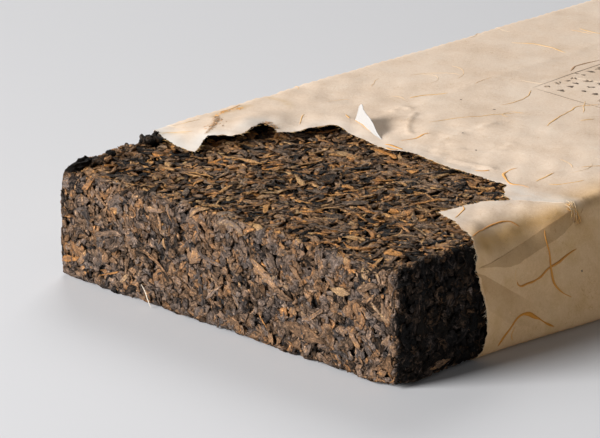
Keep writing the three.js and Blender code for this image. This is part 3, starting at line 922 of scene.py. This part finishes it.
def build_wrapper(material):
    far = FAR_EDGE + FAR_RADIUS * QUARTER
    far_line = [(across, far) for across in np.arange(SHEET_EDGE, -SHEET_EDGE - 1, -3.0)]
    right = np.array([(SHEET_EDGE, along) for along in np.linspace(TORN_LINE[-1, 1], far, 82)[1:-1]])
    outline = np.concatenate([TORN_LINE, right, far_line, right[::-1] * (-1, 1)])
    fold = np.array([(PAPER_HALF - 0.5, along) for along in np.linspace(76, 286, 110)])
    wrinkles = np.concatenate([spline(line, 1.0) for line, _, _ in WRINKLES])
    finer = [(wrinkles, 0.75, 2.2), (TORN_LINE, 1.4, 8.0), (fold, 0.9, 2.4)]
    place, triangles = triangulate(outline, 2.2, finer)
    points, _ = wrap(place)
    # The right edge of the sheet runs inside the left one under the brick.
    points[:, 2] += smooth(place[:, 0], 168, 172) * (SHEET_THICKNESS + 0.05)
    away = distance_to(place, TORN_LINE)
    torn = 0.5 * bent_line(place, PALE_BAND, 3.6)
    for pale, reach, low, high in TORN_RIMS:
        rim = pale * np.exp(-(away / reach) ** 2) * (1 - smooth(place[:, 0], low, high))
        torn = np.maximum(torn, rim)
    thickness = SHEET_THICKNESS * (0.35 + 0.65 * smooth(away, 0, 1.5))
    sheet = thick_sheet(points, triangles, thickness, place, torn, strongest(place, SHADE_AND_STAIN_LINES))
    made = paper_piece("wrapper_sheet", [sheet], material, True)
    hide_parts("paper_wrapper")


NO_FADE = (200, 201)
PATCHES = [  # outline, crisp line, reach from that, where it fades out along, height, painted shade, paleness
    (PLEAT_TOP + PLEAT_FOOT[::-1], PLEAT_TOP, 30, NO_FADE, 0.09, 0.72, 0),
    (CREASE + [(101, 57), (97, 46), (91, 38), (80.5, 34.5)], CREASE, 7, (42, 60), 0.08, 0.8, 0),
    ([(46.5, 75.5), (46, 77), (58, 81), (64, 80.5), (69, 78), (68, 76), (65, 73.5), (61.5, 72), (55, 67),
      (50, 70), (48, 72.5)], [(55, 67), (57, 68), (61.5, 71.5), (68, 75.5)], 5.5, NO_FADE, 0.07, 0, 0.6),
]


def build_patches(material):
    """Where the paper lies double: the pleat and the crease on the side, and the torn pulp at the corner."""
    sheets = []
    for k, (outline, crisp, reach, fade, above, dark, pale) in enumerate(PATCHES):
        line = ragged(outline + outline[:1], 0.7, 0.06 if dark else 0.25, 700 + 10 * k)[:-1]
        place, triangles = triangulate(line, 1.4)
        points, out = wrap(place)
        near = bent_line(place, crisp, reach) * (1 - smooth(place[:, 1], *fade))
        height = above * near + 0.02
        if pale:
            height = 1.3 * above * near * (1 + 0.4 * waves(place, 4.0, 740 + k)) - 0.04
        points = points + out * height[:, None]
        # Painted shade darkens the pleat's band and the paper below the crease.
        sheets.append(thick_sheet(points, triangles, height + 0.12, place, pale * near, dark * near))
    paper_piece("wrapper_overlaps", sheets, material, True)


def build_end_folds(material):
    """The tucked end: two side tucks, a lower flap and an upper flap over it."""
    wide, slant, low, high = PAPER_HALF - 1.4, 27.0, 1.5, PAPER_TOP - 0.9
    layers = [
        (290.45, [(-wide, low), (-wide + slant, low + 1), (-wide + slant - 4, high - 1), (-wide, high)], 0),
        (290.45, [(wide, high), (wide - slant + 4, high - 1), (wide - slant, low + 1), (wide, low)], 0),
        (290.75, [(-wide, low), (wide, low), (wide - slant, high - 6), (-wide + slant, high - 6)], 0),
        (291.1, [(-wide, high), (-wide + slant, low + 6), (wide - slant, low + 6), (wide, high)], 0.5),
    ]
    sheets = []
    for seed, (along, outline, bent) in enumerate(layers, 61):
        place, triangles = triangulate(ragged(outline + outline[:1], 1.6, 0.12, seed)[:-1], 2.6)
        bulge = 0.12 * waves(place, 22.0, seed) - 0.1 - bent * smooth(place[:, 1], high - 2.5, high)
        points = np.stack([place[:, 0], along + bulge, place[:, 1]], -1)
        sheets.append(thick_sheet(points, triangles[:, ::-1], SHEET_THICKNESS, place + (0, END_PLACES)))
    paper_piece("wrapper_end_folds", sheets, material, True)


SCRAP_TILT = math.radians(65)


def build_scrap():
    """The torn scrap that stands up behind the tear: a curled kite on the sheet."""
    start, end = np.array([-29.8, 91.2]), np.array([-11.0, 83.0])
    foot = end - start
    length = np.linalg.norm(foot)
    steps, rises = 26, 12
    share = np.linspace(0, 1, steps)[:, None]
    rise = np.linspace(0, 1, rises)[None, :]
    knots = [0, 0.05, 0.15, 0.25, 0.33, 0.5, 0.66, 0.8, 1.0]
    tall = np.interp(share, knots, [4.4, 5.6, 5.4, 4.4, 4.1, 3.7, 2.8, 1.4, 0.2])
    shift = np.interp(share, knots, [-0.06, -0.07, -0.1, -0.13, -0.13, -0.13, -0.11, -0.08, -0.03])
    base = wrap(start + share * foot)[0][:, None]
    along = np.append(foot / length, 0)
    back = np.array([-foot[1], foot[0], 0]) / length
    steep = np.array([0, 0, math.sin(SCRAP_TILT)]) + back * math.cos(SCRAP_TILT)
    outward = np.array([0, 0, math.cos(SCRAP_TILT)]) - back * math.sin(SCRAP_TILT)
    curl = 0.5 * rise * (rise - 1) + 0.25 * rise * np.sin(share * 5.0)
    points = base + steep * (tall * rise - 0.12)[..., None] + along * (length * shift * rise)[..., None]
    points = (points + outward * curl[..., None]).reshape(-1, 3)
    quads = grid_quads(np.arange(steps * rises).reshape(steps, rises))
    triangles = np.concatenate([quads[:, [0, 1, 2]], quads[:, [0, 2, 3]]])
    place = 20 * np.stack(np.broadcast_arrays(share, rise), -1).reshape(-1, 2)
    # Painted shade: the scrap's paper is a darker copy of the wrapper's torn pulp, as it faces the key light.
    material = paper_material("scrap_paper_painted_shade", (0.47, 0.46, 0.446))
    paper_piece("paper_scrap", [thick_sheet(points, triangles, SHEET_THICKNESS, place, 0.95)], material, True)


# ---- What lies on the paper ----


def thread(line, normal, width, height, tone, around=6):
    """A thin tapered closed thread along points in brick millimetres, flattened against its normal."""
    steps = len(line)
    ahead = unit(np.gradient(line, axis=0))
    side = unit(np.cross(ahead, normal))
    up = np.cross(side, ahead)
    share = np.linspace(-1, 1, steps)[:, None, None]
    taper = 0.12 + 0.88 * (1 - np.abs(share) ** 3) ** 0.6
    angle = ring_angles(around)[:, None]
    width = np.broadcast_to(width, (steps,))[:, None, None]
    ring = side[:, None] * np.cos(angle) * width / 2 + up[:, None] * np.sin(angle) * height / 2
    quads, caps = strip_faces(1, steps, around)
    return ((line[:, None] + taper * ring).reshape(-1, 3), [quads[:, [0, 3, 2, 1]], caps[:, ::-1]],
            {"tone": np.broadcast_to(tone, (steps,)).repeat(around)})


def fibre(route, width, tone, height, seed, wander=0.1):
    """A thread lying on the paper, along sheet places."""
    place = spline(route)
    place = place + wander * np.stack([waves(place, 7.0, 400 + seed), waves(place, 7.0, 500 + seed)], -1)
    line, out = wrap(place)
    middle = 1 + 0.3 * waves(place, 9.0, 600 + seed)
    return thread(line + out * (height / 2 - 0.01), out, width * middle, height, tone)


FIBRES = [  # sheet places, width, tone from pale gold to dark brown
    ([(67, 35), (65.5, 40.5), (64, 47.5), (64, 52), (65, 55), (66.5, 56), (68.5, 57)], 0.42, 0.62),
    ([(54, 42.5), (51, 48.5), (50, 51), (48, 53)], 0.26, 0.4),
    ([(85, 49.5), (87, 51), (87, 54), (87, 58), (85, 62), (84, 66.5), (82.5, 72), (82, 76)], 0.66, 0.68),
    ([(72.5, 64), (76, 63.5), (81, 64), (86, 64), (90, 65), (93, 68), (95, 71)], 0.46, 0.55),
    ([(103, 42), (100, 44.5), (97.5, 48), (96, 51), (96, 54), (98, 57), (100.5, 61), (102.5, 64)], 0.7, 0.62),
    ([(98.5, 48.5), (100.5, 47), (103, 48)], 0.24, 0.4), ([(86, 50), (83.5, 49), (81, 50)], 0.2, 0.2),
    ([(37, 91), (36, 88.5), (37, 84.5), (42, 80), (45.5, 78), (48.5, 79), (52, 78.5)], 0.52, 0.42),
    ([(49, 85), (49, 89), (49, 94)], 0.36, 0.3),
    ([(53.5, 85.5), (56, 87.5), (58.5, 92), (59.5, 95)], 0.4, 0.3),
    ([(28.5, 81), (31, 82.5), (32, 84)], 0.55, 0.5), ([(32, 84), (33, 85.5)], 0.6, 0.95),
    ([(-6.5, 87), (-5, 91), (-4.5, 95.5), (-3.5, 97.5)], 0.46, 0.42),
    ([(19, 127), (17, 132.5), (15, 139), (13, 147), (12, 151), (14, 155), (16, 158)], 0.36, 0.3),
    ([(18, 147), (12, 155), (10, 158)], 0.24, 0.24), ([(23, 139), (25, 144)], 0.3, 0.24),
    ([(-52.5, 196), (-45, 200.5), (-31, 199.5)], 0.5, 0.24),
    ([(-11, 105), (-8.5, 112.5), (-4.5, 120), (-1, 127), (2, 133), (4, 134)], 0.24, 0.26),
    ([(-34, 122), (-33, 126), (-31, 129.5), (-28, 134)], 0.5, 0.3),
    ([(-10.5, 155.5), (-7, 149.5), (-6, 145), (-6, 140), (-7, 135.5)], 0.28, 0.3),
    ([(-15, 181.5), (-17.5, 187.5), (-17.5, 192.5), (-16.5, 199.5)], 0.5, 0.8),
    ([(-8, 81), (-4.5, 81.5), (0, 80.5)], 0.75, 0.45), ([(-5, 78.5), (-3, 78.5), (-1, 79.5)], 0.5, 0.4),
    ([(-30, 91), (-13, 84.5)], 0.3, 0.3), ([(-66.5, 67.5), (-67, 77)], 0.4, 0.4),
    ([(-65, 40), (-64.5, 42), (-62, 44.5), (-59.5, 45.5), (-58, 47.5)], 0.2, 0.26),
    ([(-68, 47), (-66, 52), (-65, 57)], 0.2, 0.2), ([(-45.5, 84.5), (-43.5, 81), (-39.5, 76)], 0.24, 0.3),
    ([(-36, 93.5), (-32, 91)], 0.3, 0.35), ([(60, 110), (58, 118), (60.5, 127)], 0.3, 0.35),
    ([(52, 103), (55.5, 111), (54, 119)], 0.26, 0.3),
]
FIBRE_HEIGHT = 0.1
OVER_PLEAT = 3  # this fibre lies over the pleat, and is higher
FUZZY_LINES = [  # sheet places, how many hairs, how far they stray, middle tone
    (FUZZ, 60, 0.45, 0.84), (OCHRE, 30, 0.35, 0.5), ([(-57, 51), (-56, 56), (-60, 60)], 20, 1.3, 0.7),
    ([(-46, 65), (-44.5, 67.5), (-40.5, 66.5)], 34, 0.6, 0.88), ([(72, 75.5), (73.5, 78)], 26, 0.9, 0.8),
]


def roaming_route(draw, length, bendiness):
    """A gently curling route of sheet places, starting at zero."""
    heading = draw.uniform(0, 2 * math.pi)
    turn = draw.normal() * bendiness
    route = [np.zeros(2)]
    for _ in range(max(3, int(length / 3.0))):
        heading += turn + draw.normal() * bendiness * 0.6
        route.append(route[-1] + 3.0 * np.array([math.cos(heading), math.sin(heading)]))
    return np.array(route)


def in_view_patch(around, along):
    """Whether a sheet place lies where every broad fibre is already laid by name."""
    return (72 < around < 108 and along < 92) or (-45 < around <= 72 and along < 215)


ROAMING, BROAD = 150, 70  # seeded fibres over the whole sheet, and how many of them are broad


def build_fibres(material):
    fibres = [fibre(route, width * 1.5, tone, 0.26 if k == OVER_PLEAT else FIBRE_HEIGHT, k)
              for k, (route, width, tone) in enumerate(FIBRES)]
    draw = np.random.default_rng(733)
    for k in range(ROAMING):
        start = np.array([draw.uniform(-150, 150), draw.uniform(45, 284)])
        fine = k >= BROAD
        route = start + roaming_route(draw, draw.uniform(5, 20), 0.28)
        width = draw.uniform(0.12, 0.2) if fine else draw.uniform(0.3, 0.65)
        tone = draw.uniform(0.05, 0.3) if fine else draw.uniform(0.2, 0.45)
        around, along = route.T
        lowest = 46 if abs(start[0]) > 60 else 92
        on_sheet = along.min() >= lowest and along.max() <= 286 and np.abs(around).max() <= 160
        if on_sheet and (fine or not any(in_view_patch(*place) for place in route)):
            fibres.append(fibre(route, width, tone, 0.08 if fine else FIBRE_HEIGHT, 100 + k))
    # The burst of fibres where the fold crosses the overlap.
    for k in range(15):
        root = np.array([69.2, 76.8]) + draw.normal(size=2) * (0.5, 0.6)
        tip = root + np.array([draw.uniform(1.5, 6.5), draw.normal() * 1.2])
        middle = (root + tip) / 2 + draw.normal(size=2) * 0.3
        tail = root - (draw.uniform(0.3, 1.2), draw.normal() * 1.4)
        width, tone = draw.uniform(0.12, 0.24), draw.uniform(0.1, 0.46)
        fibres.append(fibre([tail, middle, tip], width, tone, 0.2, 300 + k))
    for line, count, stray, middle_tone in FUZZY_LINES:
        route = spline(line, 0.3)
        for k in range(count):
            root = route[draw.integers(len(route))] + draw.normal(size=2) * stray
            run = draw.normal(size=2)
            run = run / np.linalg.norm(run) * draw.uniform(0.3, 1.0)
            bend = np.array([-run[1], run[0]]) * draw.normal() * 0.3
            width, tone = draw.uniform(0.08, 0.2), middle_tone + draw.normal() * 0.07
            fibres.append(fibre([root - run, root + bend, root + run], width, tone, 0.12, 500 + k, 0.0))
    paper_piece("paper_fibres", fibres, material)


def build_fray(material):
    """Hairs of paper that stand out along the tear, and one loose pale hair on the front."""
    hairs = []
    draw = np.random.default_rng(91)
    ahead = unit(np.gradient(TORN_LINE, axis=0))
    share = np.linspace(-0.6, 1, 7)[:, None]
    for k in draw.choice(np.flatnonzero(np.abs(TORN_LINE[:, 0]) < 108), 380):
        run = ahead[k] * draw.normal() * 0.8 + np.array([ahead[k][1], -ahead[k][0]]) * draw.uniform(0.3, 1.0)
        run = run / np.linalg.norm(run) * draw.uniform(0.5, 2.0)
        line, out = wrap(TORN_LINE[k] + run * share + draw.normal(size=2) * 0.25 * share ** 2)
        lift = (draw.uniform(-0.35, 0.7) * np.clip(share, 0, 1) ** 1.5) * np.linalg.norm(run) * 0.6
        on_top = abs(TORN_LINE[k][0]) < 62
        tone = draw.uniform(0.1, 0.45) if on_top else draw.uniform(0, 0.12)
        hairs.append(thread(line + out * (lift - 0.06), out, draw.uniform(0.05, 0.13), 0.06, tone, around=4))
    loose = spline([(-32, 6.7), (-30.5, 5), (-29.5, 3), (-28, 0.2)], 0.3)
    loose = np.stack([loose[:, 0], np.full(len(loose), -0.75), loose[:, 1]], -1)
    hairs.append(thread(loose, np.array([0.0, -1.0, 0.0]), 0.3, 0.2, 0.0))
    paper_piece("tear_fray", hairs, material)


def dab(place, radii, turn, draw, tone, sides=10):
    """A thin uneven patch lying on the paper, filled from its middle."""
    angle = 2 * math.pi * np.arange(sides) / sides
    size = 1 + 0.22 * draw.normal(size=sides)
    local = np.stack([np.cos(angle) * radii[0], np.sin(angle) * radii[1]], -1) * size[:, None]
    spin = np.array([[math.cos(turn), math.sin(turn)], [-math.sin(turn), math.cos(turn)]])
    outline = np.asarray(place) + local @ spin
    spot, out = wrap(np.concatenate([outline, outline.mean(axis=0, keepdims=True)]))
    here, below = np.arange(sides), sides + 1
    after, middle = np.roll(here, -1), np.full(sides, sides)
    faces = [np.stack([middle, here, after], -1), np.stack([middle, after, here], -1) + below,
             np.stack([here, here + below, after + below, after], -1)]
    return np.concatenate([spot + out * 0.07, spot - out * 0.03]), faces, {"tone": np.full(2 * below, tone)}


STAMP_CORNER = np.array([-11.9, 157.7])
STAMP_RIGHT = np.array([1.0, -0.085])
STAMP_AHEAD = np.array([-0.03, 1.0])
STAMP_SIZE = (48.0, 68.0)


def build_stamp(material):
    """A plain ruled frame with rows of generic dabs."""
    draw = np.random.default_rng(58)
    across, along = STAMP_SIZE

    def at(u, v):
        return STAMP_CORNER + STAMP_RIGHT * u + STAMP_AHEAD * v

    rules, dabs = [], []
    corners = [at(0, 0), at(across, 0), at(across, along), at(0, along)]
    for ends in zip(corners, corners[1:] + corners[:1]):
        line, out = wrap(spline(ends, 1.5))
        rules.append(thread(line + out * 0.02, out, 0.5, 0.1, 0.42 + 0.18 * waves(line, 18.0, 83)))
    paper_piece("stamp_frame", rules, material)
    for column, row in np.ndindex(8, 14):
        if draw.uniform() < 0.06:
            continue
        middle = at(3.2 + 5.7 * column, 5.2 + 4.6 * row) + draw.normal(size=2) * 0.25
        tone = draw.uniform(0.35, 0.95)
        for _ in range(draw.integers(2, 4)):
            spot = middle + draw.normal(size=2) * (0.75, 0.55)
            radii = draw.uniform(0.5, 1.3), draw.uniform(0.35, 0.7)
            dabs.append(dab(spot, radii, draw.normal() * 0.7, draw, tone))
    paper_piece("stamp_dabs", dabs, material)


SPECKS = [  # sheet places and radius of the dark flecks in the paper
    (16.8, 95.4, 0.35), (-5.4, 130.5, 0.5), (88.5, 76.4, 0.3), (4, 104, 0.25), (-20, 131, 0.35),
    (76, 131, 0.4), (84, 158, 0.3), (-80, 90, 0.35), (-92, 170, 0.4), (40, 236, 0.4), (-30, 251, 0.35),
    (12, 272, 0.3), (-120, 140, 0.5), (130, 200, 0.5),
]


def build_specks(material):
    draw = np.random.default_rng(29)
    specks = [dab(place, (size, size * 0.8), draw.uniform(0, 3), draw, 0.9, 8) for *place, size in SPECKS]
    paper_piece("paper_specks", specks, material)


# ---- Stage ----

FLOOR_SIZE = 3.0  # half its width, in metres
CAMERA_PLACE = np.array([494.72 + HALF_WIDTH, -557.62, 306.41])  # brick millimetres
CAMERA_DOWN = math.radians(18.913)
CAMERA_TURN = math.radians(133.623 - 90)
LENS = 174.0


def build_stage():
    look = Look("pale_floor", 0.7)
    look.shader.inputs["Base Color"].default_value = (0.634, 0.632, 0.645, 1)
    mesh = bpy.data.meshes.new("floor")
    corners = [(x * FLOOR_SIZE, y * FLOOR_SIZE, 0) for x, y in ((-1, -1), (1, -1), (1, 1), (-1, 1))]
    mesh.from_pydata(corners, [], [(0, 1, 2, 3)])
    mesh.materials.append(look.material)
    floor = add_object("floor", mesh)


def add_light(name, place, target, size, power):
    """A soft white panel that faces its target. Places and sizes are in metres."""
    data = bpy.data.lights.new(name, "AREA")
    data.shape = "RECTANGLE"
    data.size, data.size_y = size
    data.energy = power
    light = add_object(name, data)
    light.location = place
    light.rotation_euler = (Vector(target) - Vector(place)).to_track_quat("-Z", "Y").to_euler()


def build_light():
    scene = bpy.context.scene
    scene.world = bpy.data.worlds.new("studio")
    scene.world.use_nodes = True
    background = scene.world.node_tree.nodes["Background"]
    background.inputs["Color"].default_value = (1.0, 1.0, 1.0, 1)
    background.inputs["Strength"].default_value = 0.09
    add_light("key", (-0.53, -1.44, 0.62), (0.02, -0.05, 0.02), (0.74, 0.62), 46)
    add_light("back", (-0.9, 0.9, 1.1), (0, 0, 0), (0.8, 0.8), 11.0)
    add_light("low_fill", (1.42, -0.55, 0.16), (0, -0.06, 0.02), (0.9, 0.25), 2.2)
    scene.view_settings.view_transform = "Standard"
    scene.view_settings.look = "None"


def build_camera():
    data = bpy.data.cameras.new("camera")
    data.lens = LENS
    data.sensor_width = 36.0
    data.sensor_fit = "HORIZONTAL"
    data.clip_end = 20.0
    camera = add_object("camera", data)
    camera.location = to_row(CAMERA_PLACE)
    camera.rotation_euler = (math.pi / 2 - CAMERA_DOWN, 0, CAMERA_TURN)
    bpy.context.scene.camera = camera


build_stage()
build_light()
build_camera()
build_core()
build_leaves()
paper = paper_material()
build_wrapper(paper)
build_patches(paper)
build_end_folds(paper)
build_scrap()
fibres = toned_material(
    "paper_fibres", 0.55, 0.35, (0.0, srgb(238, 224, 202)), (0.25, srgb(234, 190, 122)),
    (0.45, srgb(224, 160, 72)), (0.65, srgb(206, 136, 44)), (0.85, srgb(150, 118, 84)),
    (1.0, srgb(58, 42, 32)))
build_fibres(fibres)
build_fray(fibres)
ink = toned_material("stamp_ink", 0.9, 0.5, (0.0, srgb(206, 188, 166)), (0.5, srgb(160, 138, 116)),
                     (1.0, srgb(96, 82, 70)))
build_stamp(ink)
build_specks(ink)
